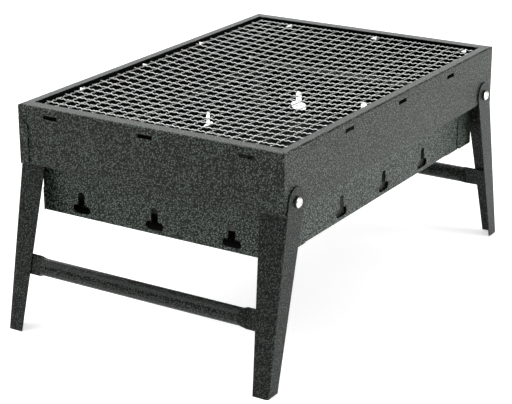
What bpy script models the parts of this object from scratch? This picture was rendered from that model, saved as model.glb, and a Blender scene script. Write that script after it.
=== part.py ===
"""Folding camp grill: a pressed-steel rim on two folding leg frames, with a
firebox of hinged end baffles and sliding side walls, a coal tray and a
lift-off cooking mesh.

+X runs along the grill, +Y across it, +Z up.  The origin is on the ground
under the middle of the grill.  All lengths are in metres.
"""
import math

import bmesh
import bpy
from mathutils import Matrix, Vector

# ------------------------------------------------------------ driving sizes
RIM_LENGTH = 0.430
RIM_WIDTH = 0.294
RIM_TOP = 0.221
RIM_BOTTOM = 0.1625
SHEET = 0.0012              # steel sheet of the rim and the legs
BEND = 0.0018               # outer radius of its folds
THIN_SHEET = 0.001          # steel sheet of the baffles, side walls and tray
THIN_BEND = 0.0015
GAP = 0.0003                # running clearance between neighbouring pieces
MITRE_GAP = 0.0005          # clearance where the top flanges meet
END_FLANGE = 0.013          # top flange folded inwards over each end wall
SIDE_FLANGE = 0.0095        # top flange folded inwards over each side wall
END_LIP = 0.0112            # bottom lip folded inwards under each end wall
SIDE_LIP = 0.0156           # bottom lip folded inwards under each side wall
LIP_SLIT = 0.0003           # clearance between the lips at a corner
CORNER_LAP = 0.011          # width of the lap where a side wall wraps a corner
LAP_TOP = 0.2085
LAP_SHOULDER = 0.201        # where the lap's sloped top edge begins
LAP_NECK = 0.004

SLOT_WIDTH = 0.016          # tab slots under the top flange
SLOT_BOTTOM = 0.2100
SLOT_TOP = 0.2152
SIDE_SLOT_PITCH = 0.106
SIDE_SLOT_SHIFT = 0.0072    # the slots centre on the blank, which has one lap
END_SLOT_PITCH = 0.109
END_TAB_REACH = 0.0155      # how far the mesh tabs are bent in from the walls
SIDE_TAB_REACH = 0.0112

FIREBOX_BOTTOM = 0.114
BAFFLE_FACE = 0.2032        # outer face of an end baffle from the middle
BAFFLE_SIDE = 0.1309        # outer face of its corner returns
BAFFLE_TOP = 0.1615         # top of the returns
BAFFLE_NOTCH_TOP = 0.137    # below this the plate passes inside the side walls
RETURN_SHEET = 0.0008
RETURN_END = 0.1715         # inboard edge of the returns
SIDE_WALL_FACE = 0.1298     # outer face of a firebox side wall
SIDE_WALL_END = 0.174       # tucked 2.5 mm behind the returns
SIDE_WALL_TOP = 0.165
HANGER_END = 0.160
HANGER_REACH = 0.0047
LEDGE_END = 0.150
WELD_OVERLAP = 0.002        # how far joined sheets run into each other
LEDGE_REACH = 0.0118
BAFFLE_HEM = 0.005
BAFFLE_CORNER = 0.006
CURL_GAP = 0.0004           # clearance between a baffle's curl and its rod
CURL_TURN = 290             # how far the curl goes round the rod, in degrees
ROD_RADIUS = 0.0015
ROD_BEND = 0.002
ROD_REACH = 0.1375          # half the length of a baffle's hinge rod
ROD_X = 0.2051
ROD_Z = 0.1671

VENT_BASE_WIDTH = 0.0205
VENT_BASE_BOTTOM = 0.1183
VENT_BASE_TOP = 0.1268
VENT_NECK_WIDTH = 0.0078
VENT_NECK_TOP = 0.1398
VENT_PITCH = 0.085
SIDE_VENT_SHIFT = 0.004

PIVOT_X = 0.1955
PIVOT_Z = 0.172
EAR_RADIUS = 0.014
EAR_ROOT = 0.004            # how far the ear overlaps the side flange
LEG_BEND = 0.0022           # outer radius of the fold between the flanges
LEG_TOP = 0.1621            # the end flange stops under the rim's lip here
LEG_TOP_X = 0.2125          # bend line at the top and on the ground
LEG_FOOT_X = 0.2449
LEG_REAR_FOOT_X = 0.2279
LEG_FLANGE_TOP_Y = 0.1205   # inner edge of the end flange, top and ground
LEG_FLANGE_FOOT_Y = 0.1325
BAR_HEIGHT = 0.0665
BAR_RADIUS = 0.0085
BAR_ROUND_END = 0.112
BAR_FLAT_START = 0.117
BAR_FLAT_END = 0.142
BAR_FLAT_HEIGHT = 0.0205
BAR_FLAT_THICKNESS = 0.003
BAR_HALF_PRESSED = 0.45     # share of the flattening midway along the taper
BAR_SQUARENESS = 0.75       # how square the pressed ends are, 0 for an ellipse

RIVET_SHANK = 0.0025
RIVET_HOLE = 0.0028
RIVET_HEAD = 0.0050
RIVET_HEAD_HEIGHT = 0.0022
RIVET_RIM_HEIGHT = 0.0007   # straight edge of the head below its dome
RIVET_SHOULDER = 0.0038     # radius and height where the dome flattens
RIVET_SHOULDER_HEIGHT = 0.0018
RIVET_CROWN = 0.0022        # radius of the flat top of the dome
RIVET_DIMPLE = 0.0014       # hollow left in the crown by the riveting tool
RIVET_DIMPLE_FLOOR = 0.0010
RIVET_DIMPLE_DEPTH = 0.0008
RIVET_TAIL = 0.0045         # formed tail inside the rim
RIVET_TAIL_HEIGHT = 0.0014
RIVET_TAIL_EDGE = 0.0005
RIVET_TAIL_CROWN = 0.0035
WASHER_RADIUS = 0.0054
WASHER_THICKNESS = 0.0011

TRAY_LENGTH = 0.364
TRAY_WIDTH = 0.254
TRAY_EDGE = 0.010
TRAY_CORNER = 0.004
TRAY_BORDER = 0.015         # plain edge round the rows of ash slots
TRAY_COLUMNS = 8
TRAY_ROWS = 5
ASH_SLOT_LENGTH = 0.028
ASH_SLOT_WIDTH = 0.006

MESH_LENGTH = 0.4026
MESH_WIDTH = 0.2732
MESH_BOTTOM = 0.2155
MESH_THICKNESS = 0.003
MESH_BAR = 0.0022
MESH_COLUMNS = 18
MESH_ROWS = 12

# -------------------------------------------------------- dependent sizes
HALF_LENGTH = RIM_LENGTH / 2
HALF_WIDTH = RIM_WIDTH / 2
LEG_FACE_Y = HALF_WIDTH + 0.0004 + SHEET
LEAN = math.atan2(LEG_FOOT_X - LEG_TOP_X, LEG_TOP)
WASHER_Y = LEG_FACE_Y + GAP
HEAD_Y = WASHER_Y + WASHER_THICKNESS + GAP

AXES = {"X": Vector((1, 0, 0)), "Y": Vector((0, 1, 0)), "Z": Vector((0, 0, 1))}


# ---------------------------------------------------------------- materials
def finish(name, colour, roughness, metallic):
    material = bpy.data.materials.new(name)
    material.use_nodes = True
    shader = material.node_tree.nodes["Principled BSDF"]
    shader.inputs["Base Color"].default_value = (*colour, 1.0)
    shader.inputs["Roughness"].default_value = roughness
    shader.inputs["Metallic"].default_value = metallic
    return material


def make_finishes():
    return {
        "paint": finish("hammertone_paint", (0.055, 0.062, 0.057), 0.42, 0.3),
        "zinc": finish("zinc_plate", (0.78, 0.78, 0.75), 0.3, 1.0),
        "wire": finish("bright_wire", (0.72, 0.73, 0.72), 0.25, 1.0),
        "black": finish("blackened_steel", (0.02, 0.02, 0.02), 0.6, 0.5),
    }


# ------------------------------------------------------------ mesh helpers
def prism(outline, axis, low, high):
    """A closed prism on a flat outline, from low to high along one axis."""
    mesh = bmesh.new()
    if axis == "X":
        ring = [mesh.verts.new((low, a, b)) for a, b in outline]
    elif axis == "Y":
        ring = [mesh.verts.new((a, low, b)) for a, b in outline]
    else:
        ring = [mesh.verts.new((a, b, low)) for a, b in outline]
    face = mesh.faces.new(ring)
    grown = bmesh.ops.extrude_face_region(mesh, geom=[face])
    moved = [v for v in grown["geom"] if isinstance(v, bmesh.types.BMVert)]
    bmesh.ops.translate(mesh, vec=AXES[axis] * (high - low), verts=moved)
    bmesh.ops.recalc_face_normals(mesh, faces=mesh.faces)
    return mesh


def block(x, y, z):
    """A box given by its low and high value along each axis."""
    corners = [(x[0], y[0]), (x[1], y[0]), (x[1], y[1]), (x[0], y[1])]
    return prism(corners, "Z", z[0], z[1])


def arc(centre, radius, start, end, steps):
    """Points on an arc from start to end, in degrees."""
    points = []
    for k in range(steps + 1):
        angle = math.radians(start + (end - start) * k / steps)
        points.append((centre[0] + radius * math.cos(angle),
                       centre[1] + radius * math.sin(angle)))
    return points


def folded(path, thickness, radius, steps=3):
    """Outline of a folded sheet that lies to the left of a path of corners.

    Every fold is rounded to the outer radius, whichever way it turns.
    """
    corners = [Vector(point) for point in path]
    runs = [(b - a).normalized() for a, b in zip(corners, corners[1:])]
    sides = [Vector((-run.y, run.x)) for run in runs]
    face = [corners[0]]
    back = [corners[0] + sides[0] * thickness]
    for corner, before, after in zip(corners[1:], sides, sides[1:]):
        bend = math.atan2(before.cross(after), before.dot(after))
        turn = math.copysign(1, bend)
        inner = radius if turn > 0 else radius - thickness
        centre = corner + turn * inner * (before + after) / (1 + before.dot(after))
        start = math.atan2(before.y, before.x)
        for k in range(steps + 1):
            angle = start + bend * k / steps
            out = Vector((math.cos(angle), math.sin(angle)))
            face.append(centre - turn * inner * out)
            back.append(centre - turn * (inner - turn * thickness) * out)
    face.append(corners[-1])
    back.append(corners[-1] + sides[-1] * thickness)
    return [tuple(point) for point in face + back[::-1]]


def rounded_rectangle(half_x, half_y, radius, steps=3):
    points = []
    for start, sx, sy in ((0, 1, 1), (90, -1, 1), (180, -1, -1), (270, 1, -1)):
        centre = (sx * (half_x - radius), sy * (half_y - radius))
        points += arc(centre, radius, start, start + 90, steps)
    return points


def skin(mesh, rings):
    """Close a run of equal rings of vertices into a solid."""
    mesh.faces.new(rings[0])
    mesh.faces.new(rings[-1])
    count = len(rings[0])
    for here, there in zip(rings, rings[1:]):
        for k in range(count):
            after = (k + 1) % count
            mesh.faces.new((here[k], here[after], there[after], there[k]))
    bmesh.ops.recalc_face_normals(mesh, faces=mesh.faces)
    return mesh


def loft(outlines):
    """A solid through flat outlines with equal numbers of points.

    Each outline is a pair: its height, and its points in X and Y.
    """
    mesh = bmesh.new()
    rings = [[mesh.verts.new((x, y, height)) for x, y in points]
             for height, points in outlines]
    return skin(mesh, rings)


def gather(meshes):
    """Several meshes as one, each kept as a separate shell."""
    whole = bmesh.new()
    for mesh in meshes:
        piece = bpy.data.meshes.new("piece")
        mesh.to_mesh(piece)
        mesh.free()
        whole.from_mesh(piece)
        bpy.data.meshes.remove(piece)
    return whole


def turn_half(mesh):
    """Turn a mesh half a turn about the grill's upright centre line."""
    bmesh.ops.scale(mesh, vec=(-1, -1, 1), verts=mesh.verts)
    return mesh


def mirror(mesh, axis):
    """Reflect a mesh in the plane through the origin across one axis."""
    normal = AXES[axis]
    factor = [1 - 2 * normal[k] for k in range(3)]
    bmesh.ops.scale(mesh, vec=factor, verts=mesh.verts)
    bmesh.ops.reverse_faces(mesh, faces=mesh.faces)
    return mesh


def add_object(name, mesh, material=None, smooth=False):
    data = bpy.data.meshes.new(name)
    mesh.to_mesh(data)
    mesh.free()
    if material is not None:
        data.materials.append(material)
    if smooth:
        data.shade_smooth()
        data.set_sharp_from_angle(angle=math.radians(35))
    thing = bpy.data.objects.new(name, data)
    bpy.context.scene.collection.objects.link(thing)
    return thing


def combine(thing, mesh, operation):
    """Cut a mesh out of an object, or weld it on, with a Boolean."""
    tool = add_object(f"{thing.name}.{operation.lower()}", mesh)
    tool.hide_render = True
    tool.display_type = "WIRE"
    step = thing.modifiers.new(operation.lower(), "BOOLEAN")
    step.operation = operation
    step.solver = "EXACT"
    step.object = tool
    return tool


def cut(thing, mesh):
    return combine(thing, mesh, "DIFFERENCE")


def weld(thing, mesh):
    return combine(thing, mesh, "UNION")


def add_axis(name, place):
    """An empty that marks a joint and carries the pieces that move on it."""
    empty = bpy.data.objects.new(name, None)
    empty.empty_display_size = 0.02
    empty.location = place
    bpy.context.scene.collection.objects.link(empty)
    return empty


def hang(thing, empty):
    """Carry an object on an empty, with its origin on the empty's place."""
    thing.data.transform(Matrix.Translation(-empty.location))
    thing.parent = empty


# ------------------------------------------------------------------ the rim
def vent_outline(centre):
    """An upside-down T: a round-ended base with a round-topped neck."""
    base = (VENT_BASE_TOP - VENT_BASE_BOTTOM) / 2
    neck = VENT_NECK_WIDTH / 2
    reach = VENT_BASE_WIDTH / 2 - base
    middle = VENT_BASE_BOTTOM + base
    points = arc((centre + reach, middle), base, -90, 90, 8)
    points.append((centre + neck, VENT_BASE_TOP))
    points += arc((centre, VENT_NECK_TOP - neck), neck, 0, 180, 8)
    points.append((centre - neck, VENT_BASE_TOP))
    points += arc((centre - reach, middle), base, 90, 270, 8)
    return points


def channel(face, flange, lip):
    """Section of a rim wall: top flange, plate and bottom lip."""
    path = [(face + flange, RIM_TOP), (face, RIM_TOP), (face, RIM_BOTTOM),
            (face + lip, RIM_BOTTOM)]
    return folded(path, SHEET, BEND)


def mitre_y(x, shift):
    """Y of the right-hand mitre line at x, in either end's corner."""
    slope = SIDE_FLANGE / END_FLANGE
    return -HALF_WIDTH + (HALF_LENGTH - abs(x)) * slope + shift


def tab_stations(shift, pitch):
    """Low and high ends of the three tab slots along a wall."""
    middles = [shift + k * pitch for k in (-1, 0, 1)]
    return [(m - SLOT_WIDTH / 2, m + SLOT_WIDTH / 2) for m in middles]


def rim_end(name, finishes, turned):
    """An end wall: folded channel, mitred flange, short lip and mesh tabs."""
    face = -HALF_LENGTH
    inside = face + SHEET
    low = -HALF_WIDTH
    high = HALF_WIDTH - SHEET - GAP
    margin = 0.001
    lip_end = HALF_WIDTH - SIDE_LIP - LIP_SLIT
    flat = face + BEND
    wall = prism(channel(face, END_FLANGE, END_LIP), "Y", low, high)
    slot_z = (SLOT_BOTTOM, SLOT_TOP - THIN_SHEET)
    tabs = []
    cuts = []
    for span in tab_stations(0, END_SLOT_PITCH):
        tabs.append(block((face + SHEET / 2, inside + END_TAB_REACH), span,
                          (SLOT_TOP - THIN_SHEET, SLOT_TOP)))
        cuts.append(block((face - SHEET, inside + SHEET / 2), span, slot_z))
    deep = face + END_FLANGE + margin
    shift = MITRE_GAP / 2
    over = face - margin
    for hand in (1, -1):
        edge = [(over, hand * mitre_y(over, shift)),
                (deep, hand * mitre_y(deep, shift)),
                (deep, hand * (low - margin)), (over, hand * (low - margin))]
        cuts.append(prism(edge, "Z", RIM_TOP - BEND - GAP, RIM_TOP + margin))
        sides = sorted((hand * lip_end, hand * (HALF_WIDTH + margin)))
        cuts.append(block((flat, face + END_LIP + margin), sides,
                          (RIM_BOTTOM - margin, RIM_BOTTOM + BEND)))
    corner = [(inside, low - margin)]
    corner += arc((inside, low + SHEET), SHEET, 270, 180, 4)
    corner += [(over, low + SHEET), (over, low - margin)]
    cuts.append(prism(corner, "Z", RIM_BOTTOM - margin, RIM_TOP - BEND))
    return cut_wall(name, finishes, wall, tabs, cuts, turned)


def rim_side(name, finishes, turned):
    """A side wall: folded channel, corner lap, mesh tabs and pivot holes."""
    face = -HALF_WIDTH
    inside = face + SHEET
    margin = 0.001
    butt = -HALF_LENGTH + SHEET + GAP
    lap_face = HALF_LENGTH + GAP + SHEET
    wall = prism(channel(face, SIDE_FLANGE, SIDE_LIP), "X", -HALF_LENGTH,
                 HALF_LENGTH)
    wrap = folded([(PIVOT_X + EAR_RADIUS, face), (lap_face, face),
                   (lap_face, face + CORNER_LAP)], SHEET, BEND)
    welded = [prism(wrap, "Z", RIM_BOTTOM, LAP_TOP)]
    slot_z = (SLOT_BOTTOM, SLOT_TOP - THIN_SHEET)
    cuts = []
    for span in tab_stations(SIDE_SLOT_SHIFT, SIDE_SLOT_PITCH):
        welded.append(block(span, (face + SHEET / 2, face + SIDE_TAB_REACH),
                            (SLOT_TOP - THIN_SHEET, SLOT_TOP)))
        cuts.append(block(span, (face - SHEET, inside + SHEET / 2), slot_z))
    # both ends of the top flange stop on the mitre line
    top = (RIM_TOP - BEND, RIM_TOP + margin)
    shift = -MITRE_GAP / 2
    deep = HALF_LENGTH - END_FLANGE - margin
    over = HALF_LENGTH + margin
    inner = face + SIDE_LIP + margin
    near_edge = [(-over, mitre_y(-over, shift)), (-over, inner),
                 (-deep, inner), (-deep, mitre_y(-deep, shift))]
    cuts.append(prism(near_edge, "Z", *top))
    step = HALF_LENGTH - SHEET
    far_edge = [(deep, mitre_y(deep, shift)), (deep, inner), (over, inner),
                (over, inside), (step, inside), (step, mitre_y(step, shift))]
    cuts.append(prism(far_edge, "Z", *top))
    # below the flange the near end butts against the end wall's plate
    cuts.append(block((-over, butt), (face - margin, inner),
                      (RIM_BOTTOM - margin, top[0])))
    lip_z = (RIM_BOTTOM - margin, RIM_BOTTOM + BEND + GAP)
    fold = HALF_LENGTH - BEND - GAP
    cuts.append(block((-over, -fold), (face - margin, inner), lip_z))
    cuts.append(block((fold, over), (inside, inner), lip_z))
    slope = [(face + LAP_NECK, LAP_TOP + margin), (face + LAP_NECK, LAP_TOP),
             (face + CORNER_LAP + margin, LAP_SHOULDER - margin),
             (face + CORNER_LAP + margin, LAP_TOP + margin)]
    cuts.append(prism(slope, "X", HALF_LENGTH, lap_face + margin))
    for x in (-PIVOT_X, PIVOT_X):
        cuts.append(prism(arc((x, PIVOT_Z), RIVET_HOLE, 0, 345, 23), "Y",
                          face - SHEET, inside + SHEET))
    return cut_wall(name, finishes, wall, welded, cuts, turned)


def cut_wall(name, finishes, wall, welded, cuts, turned):
    """Weld pieces to a painted wall, then take every cut out of it."""
    meshes = [wall] + welded + cuts
    if turned:
        meshes = [turn_half(mesh) for mesh in meshes]
    thing = add_object(name, meshes[0], finishes["paint"], smooth=True)
    count = len(welded)
    for mesh in meshes[1:count + 1]:
        weld(thing, mesh)
    for mesh in meshes[count + 1:]:
        cut(thing, mesh)
    return thing


def rim(finishes):
    rim_end("rim_end_near", finishes, False)
    rim_end("rim_end_far", finishes, True)
    rim_side("rim_side_right", finishes, False)
    rim_side("rim_side_left", finishes, True)


# -------------------------------------------------------------- the firebox
def baffle_rod(name, side, finishes):
    """A wire staple: the hinge rod of an end baffle, its ends bent down."""
    reach = ROD_REACH
    foot = RIM_BOTTOM + SHEET + GAP
    bend = ROD_BEND
    points = [(-reach, foot), (-reach, ROD_Z - bend)]
    points += [(-y, z) for y, z in
               arc((reach - bend, ROD_Z - bend), bend, 0, 90, 4)]
    points += arc((reach - bend, ROD_Z - bend), bend, 90, 0, 4)
    points += [(reach, foot)]
    curve = bpy.data.curves.new(name, "CURVE")
    curve.dimensions = "3D"
    curve.bevel_depth = ROD_RADIUS
    curve.bevel_resolution = 2
    curve.use_fill_caps = True
    spline = curve.splines.new("POLY")
    spline.points.add(len(points) - 1)
    for point, (y, z) in zip(spline.points, points):
        point.co = (side * ROD_X, y, z, 1.0)
    curve.materials.append(finishes["zinc"])
    thing = bpy.data.objects.new(name, curve)
    bpy.context.scene.collection.objects.link(thing)
    return thing


def curl_outline():
    """Section of an end baffle: bottom hem, plate, top curled round its rod."""
    inner = ROD_RADIUS + CURL_GAP
    outer = inner + THIN_SHEET
    centre = (-ROD_X, ROD_Z)
    face = -BAFFLE_FACE
    plate = folded([(face, ROD_Z), (face, FIREBOX_BOTTOM),
                    (face + BAFFLE_HEM, FIREBOX_BOTTOM)], THIN_SHEET, THIN_BEND)
    return (plate + arc(centre, outer, 0, CURL_TURN, 16)[1:]
            + arc(centre, inner, CURL_TURN, 0, 16)[:-1])


def end_baffle(name, finishes, turned, empty):
    """An end baffle: curled and hemmed plate, corner returns and vents."""
    side = BAFFLE_SIDE
    face = -BAFFLE_FACE
    inside = face + THIN_SHEET
    narrow = SIDE_WALL_FACE - THIN_SHEET - MITRE_GAP
    wall = prism(curl_outline(), "Y", -narrow, narrow)
    corner = BAFFLE_CORNER
    flap = [(face, FIREBOX_BOTTOM)]
    flap += arc((-RETURN_END - corner, FIREBOX_BOTTOM + corner), corner, -90, 0, 5)
    flap += [(-RETURN_END, BAFFLE_TOP), (face + THIN_BEND, BAFFLE_TOP),
             (face + THIN_BEND, BAFFLE_NOTCH_TOP), (face, BAFFLE_NOTCH_TOP)]
    welded = []
    for hand in (-1, 1):
        fold = folded([(face, -narrow + SHEET), (face, -side),
                       (-RETURN_END - SHEET, -side)], RETURN_SHEET, THIN_BEND)
        pieces = [prism(flap, "Y", -side, -side + RETURN_SHEET),
                  prism(fold, "Z", BAFFLE_NOTCH_TOP, BAFFLE_TOP)]
        if hand > 0:
            pieces = [mirror(mesh, "Y") for mesh in pieces]
        welded += pieces
    cuts = [prism(vent_outline(k * VENT_PITCH), "X", face - SHEET,
                  inside + SHEET) for k in (-1, 0, 1)]
    thing = cut_wall(name, finishes, wall, welded, cuts, turned)
    hang(thing, empty)
    return thing


def firebox_side(name, finishes, turned, empty):
    """A side wall: folded plate that hangs on the rim's lip, tray ledge."""
    face = -SIDE_WALL_FACE
    inside = face + THIN_SHEET
    hook = SIDE_WALL_TOP - THIN_SHEET
    upper = [(face - HANGER_REACH, hook), (face, hook), (face, hook - HANGER_REACH)]
    whole = upper[:2] + [(face, FIREBOX_BOTTOM),
                         (face + LEDGE_REACH, FIREBOX_BOTTOM)]
    wall = prism(folded(whole, THIN_SHEET, THIN_BEND), "X", -LEDGE_END, LEDGE_END)
    hanger = prism(folded(upper, THIN_SHEET, THIN_BEND), "X", -HANGER_END,
                   HANGER_END)
    overlap = LEDGE_END - WELD_OVERLAP
    ends = [block(span, (face, inside), (FIREBOX_BOTTOM, SIDE_WALL_TOP - THIN_BEND))
            for span in ((overlap, SIDE_WALL_END), (-SIDE_WALL_END, -overlap))]
    cuts = [prism(vent_outline(SIDE_VENT_SHIFT + k * VENT_PITCH), "Y",
                  face - SHEET, inside + SHEET) for k in (-1, 0, 1)]
    thing = cut_wall(name, finishes, wall, [hanger] + ends, cuts, turned)
    hang(thing, empty)
    return thing


def coal_tray(finishes, empty):
    """A shallow pan with an upturned edge and rows of ash slots."""
    floor = FIREBOX_BOTTOM + THIN_SHEET + GAP
    x = TRAY_LENGTH / 2
    y = TRAY_WIDTH / 2
    pan = prism(rounded_rectangle(x, y, TRAY_CORNER), "Z", floor,
                floor + TRAY_EDGE)
    hollow = prism(rounded_rectangle(x - THIN_SHEET, y - THIN_SHEET,
                                     TRAY_CORNER - THIN_SHEET), "Z",
                   floor + THIN_SHEET, floor + 2 * TRAY_EDGE)
    cell_x = (TRAY_LENGTH - 2 * TRAY_BORDER) / TRAY_COLUMNS
    cell_y = (TRAY_WIDTH - 2 * TRAY_BORDER) / TRAY_ROWS
    slots = []
    for column in range(TRAY_COLUMNS):
        for row in range(TRAY_ROWS):
            left = -x + TRAY_BORDER + (column + 0.5) * cell_x - ASH_SLOT_LENGTH / 2
            front = -y + TRAY_BORDER + (row + 0.5) * cell_y - ASH_SLOT_WIDTH / 2
            slots.append(block((left, left + ASH_SLOT_LENGTH),
                               (front, front + ASH_SLOT_WIDTH),
                               (floor - SHEET, floor + 2 * SHEET)))
    tray = add_object("coal_tray", pan, finishes["paint"], smooth=True)
    cut(tray, hollow)
    cut(tray, gather(slots))
    hang(tray, empty)
    return tray


# -------------------------------------------------------- the cooking mesh
def cooking_mesh(finishes, empty):
    """A flat lattice of square bars, welded where they cross."""
    def stations(length, count):
        marks = []
        for k in range(count + 1):
            start = -length / 2 + (length - MESH_BAR) * k / count
            marks += [start, start + MESH_BAR]
        return marks

    xs = stations(MESH_LENGTH, MESH_COLUMNS)
    ys = stations(MESH_WIDTH, MESH_ROWS)
    mesh = bmesh.new()
    sheet = [[mesh.verts.new((x, y, MESH_BOTTOM)) for y in ys] for x in xs]
    for i in range(len(xs) - 1):
        for j in range(len(ys) - 1):
            if i % 2 and j % 2:
                continue
            mesh.faces.new((sheet[i][j], sheet[i + 1][j],
                            sheet[i + 1][j + 1], sheet[i][j + 1]))
    grown = bmesh.ops.extrude_face_region(mesh, geom=list(mesh.faces))
    moved = [v for v in grown["geom"] if isinstance(v, bmesh.types.BMVert)]
    bmesh.ops.translate(mesh, vec=(0, 0, MESH_THICKNESS), verts=moved)
    bmesh.ops.recalc_face_normals(mesh, faces=mesh.faces)
    thing = add_object("cooking_mesh", mesh, finishes["wire"])
    hang(thing, empty)
    return thing


# ------------------------------------------------------------ the leg frames
def leg_section(height):
    """Section of a right-hand leg at a height: end flange, fold, side flange."""
    rise = height / LEG_TOP
    outer = LEG_FOOT_X + (LEG_TOP_X - LEG_FOOT_X) * rise
    edge = LEG_FLANGE_FOOT_Y + (LEG_FLANGE_TOP_Y - LEG_FLANGE_FOOT_Y) * rise
    path = [(-outer, -edge), (-outer, -LEG_FACE_Y),
            (-rear_edge(height), -LEG_FACE_Y)]
    return folded(path, SHEET, LEG_BEND, steps=4)


def rear_edge(height):
    """Distance from the middle of a leg's inboard edge, which meets the ear."""
    tangent = PIVOT_X - EAR_RADIUS
    return LEG_REAR_FOOT_X + (tangent - LEG_REAR_FOOT_X) * height / PIVOT_Z


def ear_outline():
    """The round pivot ear that the side flange runs up into."""
    root = LEG_TOP - EAR_ROOT
    points = [(-LEG_TOP_X + LEG_BEND, root), (-rear_edge(root), root)]
    points += arc((-PIVOT_X, PIVOT_Z), EAR_RADIUS, 0, 180, 18)
    points += [(-LEG_TOP_X + 2 * GAP, LEG_TOP + SHEET),
               (-LEG_TOP_X + 2 * GAP, LEG_TOP)]
    return points


def leg(name, finishes, flip_x, flip_y, empty):
    """A folded L-section leg that tapers to the foot, with its pivot hole."""
    inner = LEG_FACE_Y - SHEET
    shank = loft([(z, leg_section(z)) for z in (0.0, LEG_TOP)])
    ear = prism(ear_outline(), "Y", -LEG_FACE_Y, -inner)
    hole = prism(arc((-PIVOT_X, PIVOT_Z), RIVET_HOLE, 0, 345, 23), "Y",
                 -LEG_FACE_Y - SHEET, -inner + SHEET)
    meshes = [shank, ear, hole]
    if flip_x:
        meshes = [mirror(mesh, "X") for mesh in meshes]
    if flip_y:
        meshes = [mirror(mesh, "Y") for mesh in meshes]
    thing = add_object(name, meshes[0], finishes["paint"], smooth=True)
    weld(thing, meshes[1])
    cut(thing, meshes[2])
    hang(thing, empty)
    return thing


def crossbar(name, finishes, side, empty):
    """A round tube with flattened ends, lying between the end flanges."""
    across = 16
    stations = [(-BAR_FLAT_END, 1.0), (-BAR_FLAT_START, 1.0),
                (-(BAR_FLAT_START + BAR_ROUND_END) / 2, BAR_HALF_PRESSED),
                (-BAR_ROUND_END, 0.0), (BAR_ROUND_END, 0.0),
                ((BAR_FLAT_START + BAR_ROUND_END) / 2, BAR_HALF_PRESSED),
                (BAR_FLAT_START, 1.0), (BAR_FLAT_END, 1.0)]
    face_x = LEG_FOOT_X - math.tan(LEAN) * BAR_HEIGHT
    depth = (SHEET + GAP + BAR_FLAT_THICKNESS / 2) / math.cos(LEAN)
    centre = Vector((-(face_x - depth), 0, BAR_HEIGHT))
    mesh = bmesh.new()
    rings = []
    for y, flat in stations:
        half_x = BAR_RADIUS + (BAR_FLAT_THICKNESS / 2 - BAR_RADIUS) * flat
        half_z = BAR_RADIUS + (BAR_FLAT_HEIGHT / 2 - BAR_RADIUS) * flat
        ring = []
        for k in range(across):
            angle = 2 * math.pi * k / across
            power = 1 - BAR_SQUARENESS * flat
            cx = math.copysign(abs(math.cos(angle)) ** power, math.cos(angle))
            cz = math.sin(angle)
            point = Vector((cx * half_x, y, cz * half_z))
            ring.append(mesh.verts.new(centre + Matrix.Rotation(
                LEAN, 3, "Y") @ point))
        rings.append(ring)
    skin(mesh, rings)
    if side > 0:
        mirror(mesh, "X")
    thing = add_object(name, mesh, finishes["paint"], smooth=True)
    hang(thing, empty)
    return thing


def lathe(profile, place, outwards, steps=24):
    """Turn a closed (radius, height) profile about an axis along Y."""
    mesh = bmesh.new()
    rings = []
    for radius, height in profile:
        y = place[1] + outwards * height
        if radius == 0:
            rings.append([mesh.verts.new((place[0], y, place[2]))])
            continue
        rings.append([mesh.verts.new((
            place[0] + radius * math.cos(2 * math.pi * k / steps), y,
            place[2] + radius * math.sin(2 * math.pi * k / steps)))
            for k in range(steps)])
    closed = len(rings[0]) > 1
    pairs = list(zip(rings, rings[1:]))
    if closed:
        pairs.append((rings[-1], rings[0]))
    for here, there in pairs:
        for k in range(steps):
            after = (k + 1) % steps
            corners = [here[k % len(here)], here[after % len(here)],
                       there[after % len(there)], there[k % len(there)]]
            unique = list(dict.fromkeys(corners))
            mesh.faces.new(unique)
    bmesh.ops.recalc_face_normals(mesh, faces=mesh.faces)
    return mesh


def pivot_rivet(name, finishes, x, side):
    """A domed rivet through washer, leg ear and rim wall, with its tail."""
    inside = HALF_WIDTH - SHEET - GAP
    tail = inside - RIVET_TAIL_HEIGHT
    crown = HEAD_Y + RIVET_HEAD_HEIGHT
    hollow = crown - RIVET_DIMPLE_DEPTH
    profile = [(0, tail), (RIVET_TAIL_CROWN, tail),
               (RIVET_TAIL, inside - RIVET_TAIL_EDGE), (RIVET_TAIL, inside),
               (RIVET_SHANK, inside), (RIVET_SHANK, HEAD_Y), (RIVET_HEAD, HEAD_Y),
               (RIVET_HEAD, HEAD_Y + RIVET_RIM_HEIGHT),
               (RIVET_SHOULDER, HEAD_Y + RIVET_SHOULDER_HEIGHT),
               (RIVET_CROWN, crown), (RIVET_DIMPLE, crown),
               (RIVET_DIMPLE_FLOOR, hollow), (0, hollow)]
    mesh = lathe(profile, (x, 0, PIVOT_Z), side)
    return add_object(name, mesh, finishes["zinc"], smooth=True)


def pivot_washer(name, finishes, x, side):
    profile = [(RIVET_HOLE, WASHER_Y), (WASHER_RADIUS, WASHER_Y),
               (WASHER_RADIUS, WASHER_Y + WASHER_THICKNESS),
               (RIVET_HOLE, WASHER_Y + WASHER_THICKNESS)]
    mesh = lathe(profile, (x, 0, PIVOT_Z), side)
    return add_object(name, mesh, finishes["black"], smooth=True)


def leg_frames(finishes):
    for end, side in (("near", -1), ("far", 1)):
        axis = add_axis(f"{end}_leg_axis", (side * PIVOT_X, 0, PIVOT_Z))
        for hand, across in (("right", -1), ("left", 1)):
            leg(f"leg_{end}_{hand}", finishes, side > 0, across > 0, axis)
            pivot_rivet(f"pivot_rivet_{end}_{hand}", finishes,
                        side * PIVOT_X, across)
            pivot_washer(f"pivot_washer_{end}_{hand}", finishes,
                         side * PIVOT_X, across)
        crossbar(f"crossbar_{end}", finishes, side, axis)


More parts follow.
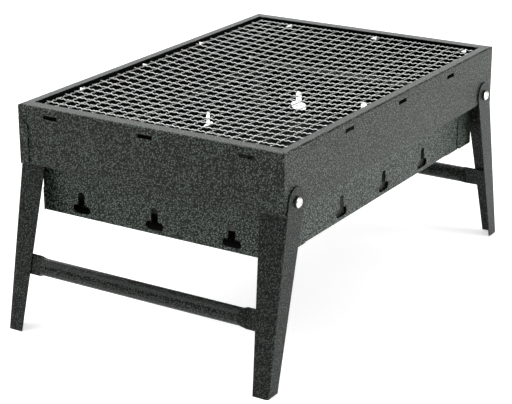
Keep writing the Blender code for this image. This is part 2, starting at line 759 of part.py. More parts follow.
def firebox(finishes):
    for end, side in (("near", -1), ("far", 1)):
        baffle_rod(f"baffle_rod_{end}", side, finishes)
        axis = add_axis(f"{end}_baffle_axis", (side * ROD_X, 0, ROD_Z))
        end_baffle(f"end_baffle_{end}", finishes, side > 0, axis)
    for hand, side in (("right", -1), ("left", 1)):
        axis = add_axis(f"{hand}_wall_slide",
                        (0, side * SIDE_WALL_FACE, SIDE_WALL_TOP))
        firebox_side(f"firebox_side_{hand}", finishes, side > 0, axis)
    coal_tray(finishes, add_axis("tray_slide", (0, 0, FIREBOX_BOTTOM)))


def main():
    for thing in list(bpy.data.objects):
        bpy.data.objects.remove(thing, do_unlink=True)
    finishes = make_finishes()
    rim(finishes)
    firebox(finishes)
    leg_frames(finishes)
    cooking_mesh(finishes, add_axis("mesh_slide", (0, 0, MESH_BOTTOM)))


main()
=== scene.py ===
"""Folding camp grill: paint, plating, sheet details, woven cooking mesh, studio.

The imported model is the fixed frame.  Every piece stands in that frame, in
metres: +X along the grill, +Y across it, +Z up.
"""

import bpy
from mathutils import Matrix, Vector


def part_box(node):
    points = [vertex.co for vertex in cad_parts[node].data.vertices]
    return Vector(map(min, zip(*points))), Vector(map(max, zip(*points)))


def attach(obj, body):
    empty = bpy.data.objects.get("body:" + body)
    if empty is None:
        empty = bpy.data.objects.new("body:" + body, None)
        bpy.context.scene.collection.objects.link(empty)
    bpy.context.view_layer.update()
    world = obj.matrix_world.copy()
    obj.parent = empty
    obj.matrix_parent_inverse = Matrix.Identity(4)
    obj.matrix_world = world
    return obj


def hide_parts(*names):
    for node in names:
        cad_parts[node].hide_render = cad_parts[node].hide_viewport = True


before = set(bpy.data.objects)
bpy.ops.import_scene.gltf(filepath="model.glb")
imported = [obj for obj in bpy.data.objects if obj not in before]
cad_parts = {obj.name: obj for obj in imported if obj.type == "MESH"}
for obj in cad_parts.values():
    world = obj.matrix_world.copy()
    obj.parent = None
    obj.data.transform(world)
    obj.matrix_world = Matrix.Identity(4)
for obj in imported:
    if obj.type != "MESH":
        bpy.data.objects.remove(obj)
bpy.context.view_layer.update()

import math

import bpy
from bpy.props import (FloatProperty, FloatVectorProperty, IntProperty,
                       PointerProperty)
from mathutils import Matrix, Vector

bl_info = {
    "name": "Folding camp grill",
    "version": (1, 0, 0),
    "blender": (4, 5, 0),
    "location": "3D View > Sidebar > Camp Grill",
    "description": "Finishes, sheet details, woven mesh and studio",
    "category": "Object",
}

MM = 0.001
NUMBER = "NodeSocketFloat"
WHOLE = "NodeSocketInt"

ENDS = ("near", "far")
HANDS = ("right", "left")
PLACES = [f"{end}_{hand}" for end in ENDS for hand in HANDS]
RIM = ([f"rim_end_{end}" for end in ENDS]
       + [f"rim_side_{hand}" for hand in HANDS])
FIREBOX = ([f"end_baffle_{end}" for end in ENDS]
           + [f"firebox_side_{hand}" for hand in HANDS])
LEG_FRAMES = ([f"leg_{place}" for place in PLACES]
              + [f"crossbar_{end}" for end in ENDS])
RODS = [f"baffle_rod_{end}" for end in ENDS]

MESH_LOW, MESH_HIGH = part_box("cooking_mesh")
TRAY_LOW, TRAY_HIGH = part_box("coal_tray")
RIM_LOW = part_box("rim_side_right")[0]
SHEET = 0.0012              # steel sheet of the rim
RIM_FACE_X = 0.2150         # outer faces of the rim and of the firebox
RIM_FACE_Y = 0.1470
BAFFLE_FACE_X = 0.2032
WALL_FACE_Y = 0.1298
THIN_SHEET = 0.0010         # steel sheet of the firebox and the tray
LEDGE_HALF = 0.1160         # ledges inside the end baffles
LEDGE_START = 0.1824
LEDGE_END = 0.1982
LEDGE_LIFT = 0.0007         # above the hem, so no light passes below the tray
WALL_CLEARANCE = 0.0007     # cooking mesh above the folded side walls

# painted shade: near-black colour for the inside of the rim and the firebox,
# where shade falls
INSIDE_PAINTED_SHADE = (0.006, 0.006, 0.006, 1.0)
INSIDE_SHADE_ROUGHNESS = 0.3        # added to the roughness of the paint in the painted shade inside
WANDER_SIZE = 1.5 * MM      # how fast the dimples of the paint stray
WANDER = (MM, MM, MM)       # how far they stray
GRAIN_SIZE = 0.7 * MM
CLOUD_SIZE = 40 * MM
DIMPLE = ((0.12, 1.0), (0.34, 0.28), (0.58, 0.0))   # height, from its middle out
FLECK = (0.1, 1.7)          # how the grain breaks the dimples up
CLOUD_SHARE = 0.3           # the most that a dark cloud covers
CLOUD_TONE = 1.6            # lightness of a cloud, beside the dark colour
GLOSS = (-0.1, 0.12)        # spread of the roughness of the paint
DIMPLE_RELIEF = 0.8
GRAIN_RELIEF = 0.35
RELIEF_DEPTH = 0.3 * MM
PAINT_STEADY = {"Metallic": 0.0, "Specular IOR Level": 0.15}
ZINC_DULL = 0.72            # lightness of the dull patches of the plating
ZINC_ROUGHNESS = 0.26
ZINC_PATCH = 3 * MM
WIRE_DULL = 0.7
WIRE_ROUGHNESS = 0.28
WIRE_PATCH = 6 * MM
SCRATCH = 0.08              # size of a scratch beside a patch
PATCH_COVER = 0.8           # the most that a patch dulls
SCRATCH_RELIEF = 0.15
PLATE_GLOSS = (-0.1, 0.15)
METAL_DEPTH = 0.05 * MM
RUB_SIZE = 1.5 * MM         # worn patches of the blackened steel
RUB_COVER = 0.7
RUB_RELIEF = 0.2
BLACK_ROUGHNESS = (0.35, 0.65)
BLACK_DARK = (0.012, 0.012, 0.013, 1)
BLACK_WORN = (0.07, 0.07, 0.072, 1)

RIM_SHARE = 1.0             # lightness of each group's paint: the firebox's raised as painted light, the legs' and the tray's lowered as painted shade
FIREBOX_PAINTED_LIGHT = 1.5
LEG_PAINTED_SHADE = 0.5
TRAY_PAINTED_SHADE = 0.4

FLOOR_HALF = 9.0
LIGHT_TARGET = (0.0, 0.0, 0.12)
SOFTBOXES = (               # name, place, size
    ("key", (0.4, -2.0, 0.85), (1.7, 1.1)),
    ("top", (-0.5, 1.1, 1.9), (2.2, 1.8)),
    ("rear", (2.1, 1.4, 1.0), (2.6, 0.9)),
)
SENSOR_WIDTH = 36.0
CLIP_START = 0.05
CAMERA_RIGHT = (0.53036, -0.84776, -0.00407)
CAMERA_BACK = (-0.79599, -0.49961, 0.34175)


# ------------------------------------------------------------- node helpers
class Value:
    """An output socket; arithmetic on it adds Math nodes to its tree."""

    def __init__(self, graph, socket):
        self.graph = graph
        self.socket = socket

    def maths(self, operation, first, second=0.0):
        return self.graph.node("ShaderNodeMath", {"operation": operation},
                               {0: first, 1: second})

    def __add__(self, other):
        return self.maths("ADD", self, other)

    def __radd__(self, other):
        return self.maths("ADD", other, self)

    def __sub__(self, other):
        return self.maths("SUBTRACT", self, other)

    def __rsub__(self, other):
        return self.maths("SUBTRACT", other, self)

    def __mul__(self, other):
        return self.maths("MULTIPLY", self, other)

    def __rmul__(self, other):
        return self.maths("MULTIPLY", other, self)

    def __truediv__(self, other):
        return self.maths("DIVIDE", self, other)

    def __neg__(self):
        return self.maths("MULTIPLY", self, -1.0)

    def __lt__(self, other):
        return self.maths("LESS_THAN", self, other)

    def __gt__(self, other):
        return self.maths("GREATER_THAN", self, other)

    def cosine(self):
        return self.maths("COSINE", self)

    def at_least(self, other):
        return self.maths("MAXIMUM", self, other)


class Graph:
    """A node tree with one way of adding a node to it."""

    def __init__(self, tree):
        self.tree = tree

    def node(self, kind, settings=None, sockets=None, output=0):
        made = self.tree.nodes.new(kind)
        for name, setting in (settings or {}).items():
            if name == "stops":
                set_stops(made.color_ramp, setting)
            else:
                setattr(made, name, setting)
        for key, value in (sockets or {}).items():
            for single in value if isinstance(value, list) else [value]:
                self.feed(made.inputs[key], single)
        return Value(self, made.outputs[output]) if made.outputs else made

    def feed(self, socket, value):
        if isinstance(value, Value):
            self.tree.links.new(value.socket, socket)
        else:
            socket.default_value = value

    def point(self, axes):
        """A vector from the given axes: 0, 1 or 2 and their values."""
        return self.node("ShaderNodeCombineXYZ", {}, axes)

    def axis(self, vector, number):
        """One axis of a vector."""
        return self.node("ShaderNodeSeparateXYZ", {}, {0: vector},
                         output=number)

    def bump(self, strength, depth, height):
        """The normal of a surface raised by height."""
        return self.node("ShaderNodeBump", {},
                         {"Strength": strength, "Distance": depth,
                          "Height": height})

    def mix(self, factor, first, second):
        """A mix of two colours."""
        return self.node("ShaderNodeMix",
                         {"data_type": "RGBA", "clamp_factor": True},
                         {0: factor, 6: first, 7: second}, output=2)

    def ramp(self, factor, *stops):
        """A value that follows (place, height) stops, read as a grey."""
        made = self.node("ShaderNodeValToRGB",
                         {"stops": [(place, (high, high, high, 1.0))
                                    for place, high in stops]},
                         {"Fac": factor})
        return self.node("ShaderNodeSeparateColor", {}, {"Color": made})

    def span(self, value, low, high):
        """A value from 0 to 1 spread between low and high."""
        return self.node("ShaderNodeMapRange", {"clamp": True},
                         {"Value": value, "To Min": low, "To Max": high})

    def noise(self, place, size, detail=2.0, roughness=0.5):
        """Cloudy noise whose patches are about this size."""
        return self.node("ShaderNodeTexNoise", {"normalize": True},
                         {"Vector": place, "Scale": 1.0 / size,
                          "Detail": detail, "Roughness": roughness})


def set_stops(ramp, stops):
    """Place the (place, colour) stops of a colour ramp."""
    while len(ramp.elements) < len(stops):
        ramp.elements.new(1.0)
    for element, (place, colour) in zip(ramp.elements, stops):
        element.position = place
        element.color = colour


def colour(rgb, share=1.0):
    """A socket's colour, lightened or darkened."""
    return (rgb[0] * share, rgb[1] * share, rgb[2] * share, 1.0)


def surface(name, steady, varied):
    """A Principled material. varied makes the linked sockets from a graph."""
    material = bpy.data.materials.new(name)
    material.use_nodes = True
    tree = material.node_tree
    shader = tree.nodes["Principled BSDF"]
    for socket, value in steady.items():
        shader.inputs[socket].default_value = value
    graph = Graph(tree)
    place = graph.node("ShaderNodeTexCoord", output="Object")
    for socket, value in varied(graph, place).items():
        graph.feed(shader.inputs[socket], value)
    return material


# ---------------------------------------------------------------- finishes
def shade_box_mask(graph, place, low, high):
    """1 on surfaces that lie within this box, such as a firebox's inside, where
    the paint turns to painted shade.
    """
    inside = 1.0
    for number, (start, end) in enumerate(zip(low, high)):
        along = graph.axis(place, number)
        inside = inside * (along > start) * (along < end)
    return inside


def hammertone(settings, name, share, low=None, high=None):
    """Paint that dries in small smooth dimples, dark along their edges.

    share lightens or darkens it: painted light or painted shade for a group of
    parts.  Between low and high it is dull and black, painted shade inside a
    hollow.
    """
    def varied(graph, place):
        wander = graph.node("ShaderNodeTexNoise", {"normalize": True},
                            {"Vector": place, "Scale": 1 / WANDER_SIZE,
                             "Detail": 1.0}, output="Color")
        shifted = graph.node("ShaderNodeVectorMath",
                             {"operation": "MULTIPLY_ADD"},
                             {0: wander, 1: WANDER, 2: place})
        cells = graph.node("ShaderNodeTexVoronoi", {"feature": "F1"},
                           {"Vector": shifted,
                            "Scale": 1.0 / settings.cell_size},
                           output="Distance")
        dimple = graph.ramp(cells, *DIMPLE)
        grain = graph.noise(place, GRAIN_SIZE, 2.0)
        cloud = graph.noise(place, CLOUD_SIZE, 3.0)
        fleck = dimple * graph.span(grain, *FLECK)
        tone = graph.mix(fleck, colour(settings.dark, share),
                         colour(settings.light, share))
        tone = graph.mix(graph.span(cloud, 0.0, CLOUD_SHARE), tone,
                         colour(settings.dark, CLOUD_TONE * share))
        rough = graph.span(grain, settings.roughness + GLOSS[0],
                           settings.roughness + GLOSS[1])
        # painted shade: inside the hollow the paint turns near-black, rougher
        # and metallic
        if low:
            painted_shade = shade_box_mask(graph, place, low, high)
            tone = graph.mix(painted_shade, tone, INSIDE_PAINTED_SHADE)
            rough = rough + painted_shade * INSIDE_SHADE_ROUGHNESS
        relief = dimple * DIMPLE_RELIEF + grain * GRAIN_RELIEF
        normal = graph.bump(settings.relief, RELIEF_DEPTH, relief)
        sockets = {"Base Color": tone, "Roughness": rough, "Normal": normal}
        if low:
            sockets["Metallic"] = painted_shade
        return sockets
    return surface(name, PAINT_STEADY, varied)


def hollow(half_x, half_y, low, high):
    """The two corners of the space inside a frame of sheet walls."""
    return (-half_x, -half_y, low), (half_x, half_y, high)


def plated(name, tint, dull, rough, patch):
    """Bright plated steel with cloudy dull patches and fine scratches."""
    def varied(graph, place):
        cloud = graph.noise(place, patch, 3.0, 0.6)
        fine = graph.noise(place, patch * SCRATCH, 2.0)
        shade = graph.mix(graph.span(cloud, 0.0, PATCH_COVER), tint, dull)
        normal = graph.bump(SCRATCH_RELIEF, METAL_DEPTH, fine)
        return {"Base Color": shade,
                "Roughness": graph.span(cloud * 0.6 + fine * 0.4,
                                        rough + PLATE_GLOSS[0],
                                        rough + PLATE_GLOSS[1]),
                "Normal": normal}
    return surface(name, {"Metallic": 1.0}, varied)


def blackened():
    """Oil-blackened steel, rubbed grey in places."""
    def varied(graph, place):
        rub = graph.noise(place, RUB_SIZE, 3.0, 0.6)
        shade = graph.mix(graph.span(rub, 0.0, RUB_COVER),
                          BLACK_DARK, BLACK_WORN)
        normal = graph.bump(RUB_RELIEF, METAL_DEPTH, rub)
        return {"Base Color": shade,
                "Roughness": graph.span(rub, *BLACK_ROUGHNESS),
                "Normal": normal}
    return surface("blackened_steel_finish", {"Metallic": 0.6}, varied)


def coat(names, material):
    """Put one finish on every material slot of these nodes."""
    for name in names:
        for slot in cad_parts[name].material_slots:
            slot.material = material


# ------------------------------------------------------------ made by rule
def geometry_tree(name, inputs):
    """A Geometry Nodes tree with named inputs: (name, kind, default).

    Gives its graph and its inputs by name, with one more for the material.
    """
    tree = bpy.data.node_groups.new(name, "GeometryNodeTree")
    doors = tree.interface
    doors.new_socket("Geometry", in_out="OUTPUT",
                     socket_type="NodeSocketGeometry")
    for label, kind, default in inputs:
        door = doors.new_socket(label, in_out="INPUT", socket_type=kind)
        door.default_value = default
    doors.new_socket("Material", in_out="INPUT",
                     socket_type="NodeSocketMaterial")
    graph = Graph(tree)
    source = tree.nodes.new("NodeGroupInput")
    given = {item.name: Value(graph, source.outputs[item.name])
             for item in doors.items_tree if item.in_out == "INPUT"}
    return graph, given


def close_tree(graph, given, made):
    """End a tree in real geometry of one material."""
    made = graph.node("GeometryNodeRealizeInstances", {}, {"Geometry": made})
    made = graph.node("GeometryNodeSetMaterial", {},
                      {"Geometry": made, "Material": given["Material"]})
    graph.node("NodeGroupOutput", {}, {0: made})
    return graph.tree


def grow(name, tree, values, material):
    """Run a tree once with these inputs and keep the result as a mesh."""
    seed = bpy.data.objects.new(name + "_seed", bpy.data.meshes.new(name))
    bpy.context.scene.collection.objects.link(seed)
    modifier = seed.modifiers.new(name, "NODES")
    modifier.node_group = tree
    wanted = dict(values)
    wanted["Material"] = material
    for item in tree.interface.items_tree:
        if item.in_out == "INPUT":
            modifier[item.identifier] = wanted.pop(item.name)
    if wanted:
        raise RuntimeError(f"{name} has no input named {sorted(wanted)}")
    seen = bpy.context.evaluated_depsgraph_get()
    made = bpy.data.meshes.new_from_object(seed.evaluated_get(seen))
    bpy.data.objects.remove(seed)
    if not made.polygons:
        raise RuntimeError(f"{name} came out empty")
    piece = bpy.data.objects.new(name, made)
    bpy.context.scene.collection.objects.link(piece)
    return piece


def wire_run(graph, given, along, across, sign):
    """All the wires that run along one axis, crimped and sagging."""
    run = graph.node
    half = given[f"Half {along}"]
    pitch = given[f"Pitch {along}"]
    spacing = given[f"Pitch {across}"]
    count = given[f"Count {across}"]
    first = given[f"First {across}"]
    way = "XY".index(along)
    other = "XY".index(across)
    line = run("GeometryNodeCurvePrimitiveLine", {},
               {"Start": graph.point({way: -half}),
                "End": graph.point({way: half})})
    line = run("GeometryNodeResampleCurve", {},
               {"Curve": line, "Count": half * 2.0 / pitch
                * given["Crimps"] * 2.0 + 1.0})
    rows = run("GeometryNodeMeshLine", {},
               {"Count": count, "Start Location": graph.point({other: first}),
                "Offset": graph.point({other: spacing})})
    laid = run("GeometryNodeInstanceOnPoints", {},
               {"Points": rows, "Instance": line})
    laid = run("GeometryNodeRealizeInstances", {}, {"Geometry": laid})
    spot = run("GeometryNodeInputPosition")
    x = graph.axis(spot, 0)
    y = graph.axis(spot, 1)
    go, turn = (x, y) if along == "X" else (y, x)
    wave = (math.pi * (go - given[f"First {along}"]) / pitch
            * given["Crimps"]).cosine()
    side = (math.pi * (turn - first) / spacing).cosine()
    bow_x = (1.0 - x * x / (given["Half X"] * given["Half X"])).at_least(0.0)
    bow_y = (1.0 - y * y / (given["Half Y"] * given["Half Y"])).at_least(0.0)
    rise = (wave * side * given["Crimp height"] * (0.5 * sign)
            + given["Height"] - given["Sag"] * bow_x * bow_y)
    laid = run("GeometryNodeSetPosition", {},
               {"Geometry": laid, "Offset": graph.point({2: rise})})
    ring = run("GeometryNodeCurvePrimitiveCircle", {},
               {"Resolution": given["Sides"],
                "Radius": given["Diameter"] * 0.5})
    return run("GeometryNodeCurveToMesh", {},
               {"Curve": laid, "Profile Curve": ring, "Fill Caps": True})


def woven_mesh_tree():
    """Crimped wires in two directions, over and under each other in turn."""
    graph, given = geometry_tree("woven_mesh", [
        ("Half X", NUMBER, 0.2), ("Half Y", NUMBER, 0.13),
        ("First X", NUMBER, -0.19), ("First Y", NUMBER, -0.13),
        ("Pitch X", NUMBER, 0.014), ("Pitch Y", NUMBER, 0.014),
        ("Count X", WHOLE, 29), ("Count Y", WHOLE, 20),
        ("Crimps", NUMBER, 5.0), ("Crimp height", NUMBER, 0.0013),
        ("Diameter", NUMBER, 0.0013), ("Height", NUMBER, 0.2),
        ("Sag", NUMBER, 0.0), ("Sides", WHOLE, 6)])
    both = graph.node("GeometryNodeJoinGeometry", {},
                      {0: [wire_run(graph, given, "X", "Y", 1.0),
                           wire_run(graph, given, "Y", "X", -1.0)]})
    both = graph.node("GeometryNodeSetShadeSmooth", {}, {"Geometry": both})
    return close_tree(graph, given, both)


def slot_hood_tree():
    """Low closed hoods, plain boxes, in rows and columns."""
    graph, given = geometry_tree("slot_hoods", [
        ("Columns", WHOLE, 8), ("Rows", WHOLE, 5),
        ("Reach X", NUMBER, 0.3), ("Reach Y", NUMBER, 0.2),
        ("Length", NUMBER, 0.031), ("Width", NUMBER, 0.009),
        ("Rise", NUMBER, 0.0016), ("Height", NUMBER, 0.1)])
    spots = graph.node("GeometryNodeMeshGrid", {},
                       {"Size X": given["Reach X"], "Size Y": given["Reach Y"],
                        "Vertices X": given["Columns"],
                        "Vertices Y": given["Rows"]})
    spots = graph.node("GeometryNodeSetPosition", {},
                       {"Geometry": spots,
                        "Offset": graph.point({2: given["Height"]})})
    size = graph.point({0: given["Length"], 1: given["Width"],
                        2: given["Rise"]})
    hood = graph.node("GeometryNodeMeshCube", {}, {"Size": size})
    laid = graph.node("GeometryNodeInstanceOnPoints", {},
                      {"Points": spots, "Instance": hood})
    return close_tree(graph, given, laid)


def sheet_strip(name, low, high, material):
    """A plain strip of sheet between two corners."""
    corners = [(x, y, z) for x in (low[0], high[0]) for y in (low[1], high[1])
               for z in (low[2], high[2])]
    faces = [(0, 1, 3, 2), (4, 6, 7, 5), (0, 4, 5, 1), (2, 3, 7, 6),
             (0, 2, 6, 4), (1, 5, 7, 3)]
    data = bpy.data.meshes.new(name)
    data.from_pydata(corners, [], faces)
    data.materials.append(material)
    strip = bpy.data.objects.new(name, data)
    bpy.context.scene.collection.objects.link(strip)
    return strip


# ---------------------------------------------------------------- settings
class PaintSettings(bpy.types.PropertyGroup):
    dark: FloatVectorProperty(
        name="Dark", description="Colour between the dimples",
        subtype="COLOR", default=(0.0022, 0.0036, 0.0026), min=0, max=1)
    light: FloatVectorProperty(
        name="Light", description="Colour on top of the dimples",
        subtype="COLOR", default=(0.190, 0.230, 0.200), min=0, max=1)
    cell_size: FloatProperty(
        name="Dimple size", description="Distance from dimple to dimple",
        subtype="DISTANCE", unit="LENGTH", default=0.0016, precision=4)
    roughness: FloatProperty(
        name="Roughness", description="Gloss of the dried paint",
        subtype="FACTOR", default=0.36, min=0, max=1)
    relief: FloatProperty(
        name="Relief", description="How deep the dimples look",
        subtype="FACTOR", default=1.0, min=0, max=1)


class TraySettings(bpy.types.PropertyGroup):
    columns: IntProperty(
        name="Columns", description="Ash slots along the tray",
        default=8, min=2)
    rows: IntProperty(
        name="Rows", description="Ash slots across the tray",
        default=5, min=2)
    border: FloatProperty(
        name="Border", description="Plain edge round the ash slots",
        subtype="DISTANCE", unit="LENGTH", default=0.015, precision=4)
    hood_length: FloatProperty(
        name="Hood length", description="Along the ash slot it covers",
        subtype="DISTANCE", unit="LENGTH", default=0.031, precision=4)
    hood_width: FloatProperty(
        name="Hood width", description="Across the ash slot it covers",
        subtype="DISTANCE", unit="LENGTH", default=0.009, precision=4)
    hood_rise: FloatProperty(
        name="Hood rise", description="Above the floor of the tray",
        subtype="DISTANCE", unit="LENGTH", default=0.0016, precision=4)


class PlatingSettings(bpy.types.PropertyGroup):
    zinc: FloatVectorProperty(
        name="Zinc", description="Colour of rivets and hinge rods",
        subtype="COLOR", default=(0.80, 0.80, 0.77), min=0, max=1)
    wire: FloatVectorProperty(
        name="Wire", description="Colour of the cooking mesh",
        subtype="COLOR", default=(0.70, 0.72, 0.70), min=0, max=1)


class MeshSettings(bpy.types.PropertyGroup):
    pitch_x: FloatProperty(
        name="Pitch along", description="Opening and wire, along the grill",
        subtype="DISTANCE", unit="LENGTH", default=0.0142, precision=4)
    pitch_y: FloatProperty(
        name="Pitch across", description="Opening and wire, across it",
        subtype="DISTANCE", unit="LENGTH", default=0.0140, precision=4)
    diameter: FloatProperty(
        name="Wire diameter", description="Thickness of one wire",
        subtype="DISTANCE", unit="LENGTH", default=0.0010, precision=5)
    crimps: IntProperty(
        name="Crimps", description="Half waves of wire per opening, odd",
        default=5, min=1)
    crimp_height: FloatProperty(
        name="Crimp height", description="From trough to crest of a wire",
        subtype="DISTANCE", unit="LENGTH", default=0.00115, precision=5)
    sag: FloatProperty(
        name="Sag", description="How far the middle hangs down",
        subtype="DISTANCE", unit="LENGTH", default=0.0068, precision=4)
    sides: IntProperty(
        name="Sides", description="Faces round one wire",
        default=6, min=3, max=12)


class StageSettings(bpy.types.PropertyGroup):
    floor: FloatVectorProperty(
        name="Floor", description="Colour of the floor",
        subtype="COLOR", default=(0.86, 0.86, 0.86), min=0, max=1)
    glow: FloatProperty(
        name="Floor glow", description="Light from below the floor",
        default=0.6, min=0)
    surround: FloatProperty(
        name="Surround", description="Brightness of the room",
        default=0.4, min=0)
    key: FloatProperty(
        name="Key light", description="Power of the right-hand softbox",
        subtype="POWER", unit="POWER", default=40.0, min=0)
    top: FloatProperty(
        name="Top light", description="Power of the overhead softbox",
        subtype="POWER", unit="POWER", default=45.0, min=0)
    rear: FloatProperty(
        name="Rear light", description="Power of the low softbox behind",
        subtype="POWER", unit="POWER", default=20.0, min=0)
    lens: FloatProperty(
        name="Lens", description="Focal length on a 36 mm sensor",
        subtype="DISTANCE_CAMERA", unit="CAMERA", default=113.93)
    camera_place: FloatVectorProperty(
        name="Camera place", description="Where the camera stands",
        subtype="TRANSLATION", unit="LENGTH", precision=4,
        default=(-1.3416, -0.8256, 0.6561))


class GrillSettings(bpy.types.PropertyGroup):
    paint: PointerProperty(
        name="Paint", description="Hammertone paint", type=PaintSettings)
    tray: PointerProperty(
        name="Tray", description="Hoods of the coal tray", type=TraySettings)
    plating: PointerProperty(
        name="Plating", description="Bright metal", type=PlatingSettings)
    mesh: PointerProperty(
        name="Mesh", description="Cooking mesh", type=MeshSettings)
    stage: PointerProperty(
        name="Stage", description="Floor, lights and camera",
        type=StageSettings)


# --------------------------------------------------------------- operators
class CAMP_GRILL_OT_paint(bpy.types.Operator):
    """Hammertone paint on every folded sheet, leg, crossbar and the tray"""
    bl_idname = "camp_grill.paint"
    bl_label = "Paint the sheet metal"

    def execute(self, context):
        settings = context.scene.camp_grill.paint
        half = SHEET / 2
        low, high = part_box(RIM[0])
        # the spaces inside the rim and the firebox, where the paint takes
        # painted shade
        rim = hollow(RIM_FACE_X - half, RIM_FACE_Y - half,
                     low.z + half, high.z - half)
        box = hollow(BAFFLE_FACE_X - half, WALL_FACE_Y - half,
                     TRAY_LOW.z - half, RIM_LOW.z + SHEET)
        coat(RIM, hammertone(settings, "rim_paint", RIM_SHARE, *rim))
        # painted light: the firebox's copy of the paint is lighter than the
        # rim's
        coat(FIREBOX,
             hammertone(settings, "firebox_paint", FIREBOX_PAINTED_LIGHT, *box))
        # painted shade: the copies on the legs and on the tray are darker than
        # the rim's
        coat(LEG_FRAMES, hammertone(settings, "leg_paint", LEG_PAINTED_SHADE))
        coat(["coal_tray"], hammertone(settings, "tray_paint", TRAY_PAINTED_SHADE))
        return {"FINISHED"}


class CAMP_GRILL_OT_baffle_ledges(bpy.types.Operator):
    """A ledge inside each end baffle that closes the gap beside the tray"""
    bl_idname = "camp_grill.baffle_ledges"
    bl_label = "Add the ledges of the end baffles"

    def execute(self, context):
        paint = bpy.data.materials["firebox_paint"]
        for end, side in zip(ENDS, (-1, 1)):
            reach = sorted((side * LEDGE_START, side * LEDGE_END))
            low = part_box(f"end_baffle_{end}")[0].z + LEDGE_LIFT
            strip = sheet_strip(f"baffle_ledge_{end}",
                                (reach[0], -LEDGE_HALF, low),
                                (reach[1], LEDGE_HALF, low + THIN_SHEET),
                                paint)
            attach(strip, f"baffle_{end}")
        return {"FINISHED"}


class CAMP_GRILL_OT_slot_hoods(bpy.types.Operator):
    """Low closed hoods that cover the ash slots of the coal tray"""
    bl_idname = "camp_grill.slot_hoods"
    bl_label = "Cover the ash slots with hoods"

    def execute(self, context):
        settings = context.scene.camp_grill.tray
        room_x = TRAY_HIGH.x - TRAY_LOW.x - 2 * settings.border
        room_y = TRAY_HIGH.y - TRAY_LOW.y - 2 * settings.border
        values = {"Columns": settings.columns, "Rows": settings.rows,
                  "Reach X": room_x * (1 - 1 / settings.columns),
                  "Reach Y": room_y * (1 - 1 / settings.rows),
                  "Length": settings.hood_length,
                  "Width": settings.hood_width, "Rise": settings.hood_rise,
                  "Height": TRAY_LOW.z + THIN_SHEET + settings.hood_rise / 2}
        hoods = grow("ash_slot_hoods", slot_hood_tree(), values,
                     bpy.data.materials["tray_paint"])
        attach(hoods, "tray")
        return {"FINISHED"}


class CAMP_GRILL_OT_fittings(bpy.types.Operator):
    """Zinc on the rivets and hinge rods, black on the pivot washers"""
    bl_idname = "camp_grill.fittings"
    bl_label = "Finish the rivets, washers and rods"

    def execute(self, context):
        plating = context.scene.camp_grill.plating
        zinc = plated("zinc_plate_finish", colour(plating.zinc),
                      colour(plating.zinc, ZINC_DULL),
                      ZINC_ROUGHNESS, ZINC_PATCH)
        black = blackened()
        coat([f"pivot_rivet_{place}" for place in PLACES], zinc)
        coat([f"pivot_washer_{place}" for place in PLACES], black)
        coat(RODS, zinc)
        return {"FINISHED"}


class CAMP_GRILL_OT_cooking_mesh(bpy.types.Operator):
    """The crimped wires of the cooking mesh, woven over and under"""
    bl_idname = "camp_grill.cooking_mesh"
    bl_label = "Weave the cooking mesh"

    def execute(self, context):
        settings = context.scene.camp_grill.mesh
        plating = context.scene.camp_grill.plating
        wire = plated("bright_wire_finish", colour(plating.wire),
                      colour(plating.wire, WIRE_DULL),
                      WIRE_ROUGHNESS, WIRE_PATCH)
        half_x = MESH_HIGH.x
        half_y = MESH_HIGH.y
        radius = settings.diameter / 2
        count_x = int(2 * (half_x - radius) / settings.pitch_x) + 1
        count_y = int(2 * (half_y - radius) / settings.pitch_y) + 1
        values = {"Half X": half_x, "Half Y": half_y,
                  "First X": -(count_x - 1) * settings.pitch_x / 2,
                  "First Y": -(count_y - 1) * settings.pitch_y / 2,
                  "Pitch X": settings.pitch_x, "Pitch Y": settings.pitch_y,
                  "Count X": count_x, "Count Y": count_y,
                  "Crimps": float(settings.crimps),
                  "Crimp height": settings.crimp_height,
                  "Diameter": settings.diameter,
                  "Height": MESH_LOW.z + settings.diameter + WALL_CLEARANCE,
                  "Sag": settings.sag, "Sides": settings.sides}
        piece = grow("woven_cooking_mesh", woven_mesh_tree(), values, wire)
        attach(piece, "mesh")
        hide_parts("cooking_mesh")
        return {"FINISHED"}


class CAMP_GRILL_OT_stage(bpy.types.Operator):
    """Floor, soft studio lights and the camera"""
    bl_idname = "camp_grill.stage"
    bl_label = "Set the stage"

    def execute(self, context):
        settings = context.scene.camp_grill.stage
        add_floor(settings)
        add_world(settings)
        for name, place, size in SOFTBOXES:
            add_softbox(name, getattr(settings, name), place, size)
        add_camera(settings)
        context.scene.view_settings.view_transform = "Standard"
        return {"FINISHED"}


def add_floor(settings):
    """A wide pale floor that glows a little, so that it stays white."""
    half = FLOOR_HALF
    data = bpy.data.meshes.new("floor")
    corners = [(-half, -half, 0), (half, -half, 0), (half, half, 0),
               (-half, half, 0)]
    data.from_pydata(corners, [], [(0, 1, 2, 3)])
    floor = bpy.data.objects.new("floor", data)
    bpy.context.scene.collection.objects.link(floor)

    def varied(graph, place):
        cloud = graph.noise(place, 0.4, 2.0)
        return {"Roughness": graph.span(cloud, 0.75, 0.9)}

    data.materials.append(surface("pale_floor",
                                  {"Base Color": colour(settings.floor),
                                   "Emission Color": colour(settings.floor),
                                   "Emission Strength": settings.glow},
                                  varied))


def add_world(settings):
    """An even white room round the stage."""
    world = bpy.data.worlds.new("studio")
    world.use_nodes = True
    back = world.node_tree.nodes["Background"]
    back.inputs["Color"].default_value = (1.0, 1.0, 1.0, 1.0)
    back.inputs["Strength"].default_value = settings.surround
    bpy.context.scene.world = world


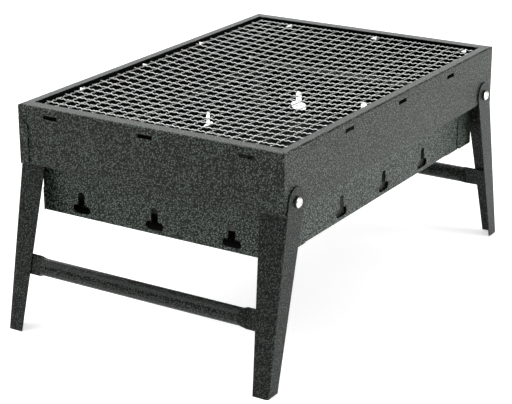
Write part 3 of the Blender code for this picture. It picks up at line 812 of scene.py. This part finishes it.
def add_softbox(name, power, place, size):
    """A rectangular soft light that faces the grill."""
    light = bpy.data.lights.new(name, "AREA")
    light.shape = "RECTANGLE"
    light.size = size[0]
    light.size_y = size[1]
    light.energy = power
    box = bpy.data.objects.new(name, light)
    box.location = place
    aim = Vector(LIGHT_TARGET) - Vector(place)
    box.rotation_euler = aim.to_track_quat("-Z", "Y").to_euler()
    bpy.context.scene.collection.objects.link(box)


def add_camera(settings):
    """The camera, turned to its right and back axes."""
    data = bpy.data.cameras.new("camera")
    data.sensor_width = SENSOR_WIDTH
    data.lens = settings.lens
    data.clip_start = CLIP_START
    camera = bpy.data.objects.new("camera", data)
    right = Vector(CAMERA_RIGHT).normalized()
    back = Vector(CAMERA_BACK).normalized()
    up = back.cross(right)
    turn = Matrix((right, up, back)).transposed()
    place = Matrix.Translation(settings.camera_place)
    camera.matrix_world = place @ turn.to_4x4()
    bpy.context.scene.collection.objects.link(camera)
    bpy.context.scene.camera = camera


class CAMP_GRILL_PT_panel(bpy.types.Panel):
    """The steps that build the grill, in order"""
    bl_idname = "CAMP_GRILL_PT_panel"
    bl_label = "Camp Grill"
    bl_space_type = "VIEW_3D"
    bl_region_type = "UI"
    bl_category = "Camp Grill"

    def draw(self, context):
        for operator in OPERATORS:
            self.layout.operator(operator.bl_idname)


OPERATORS = (CAMP_GRILL_OT_paint, CAMP_GRILL_OT_baffle_ledges,
             CAMP_GRILL_OT_slot_hoods, CAMP_GRILL_OT_fittings,
             CAMP_GRILL_OT_cooking_mesh, CAMP_GRILL_OT_stage)
CLASSES = (PaintSettings, TraySettings, PlatingSettings, MeshSettings,
           StageSettings, GrillSettings) + OPERATORS + (CAMP_GRILL_PT_panel,)


def register():
    for kind in CLASSES:
        bpy.utils.register_class(kind)
    bpy.types.Scene.camp_grill = PointerProperty(type=GrillSettings)


def unregister():
    del bpy.types.Scene.camp_grill
    for kind in reversed(CLASSES):
        bpy.utils.unregister_class(kind)


def main():
    register()
    bpy.ops.camp_grill.paint()
    bpy.ops.camp_grill.baffle_ledges()
    bpy.ops.camp_grill.slot_hoods()
    bpy.ops.camp_grill.fittings()
    bpy.ops.camp_grill.cooking_mesh()
    bpy.ops.camp_grill.stage()


if __name__ == "__main__":
    main()
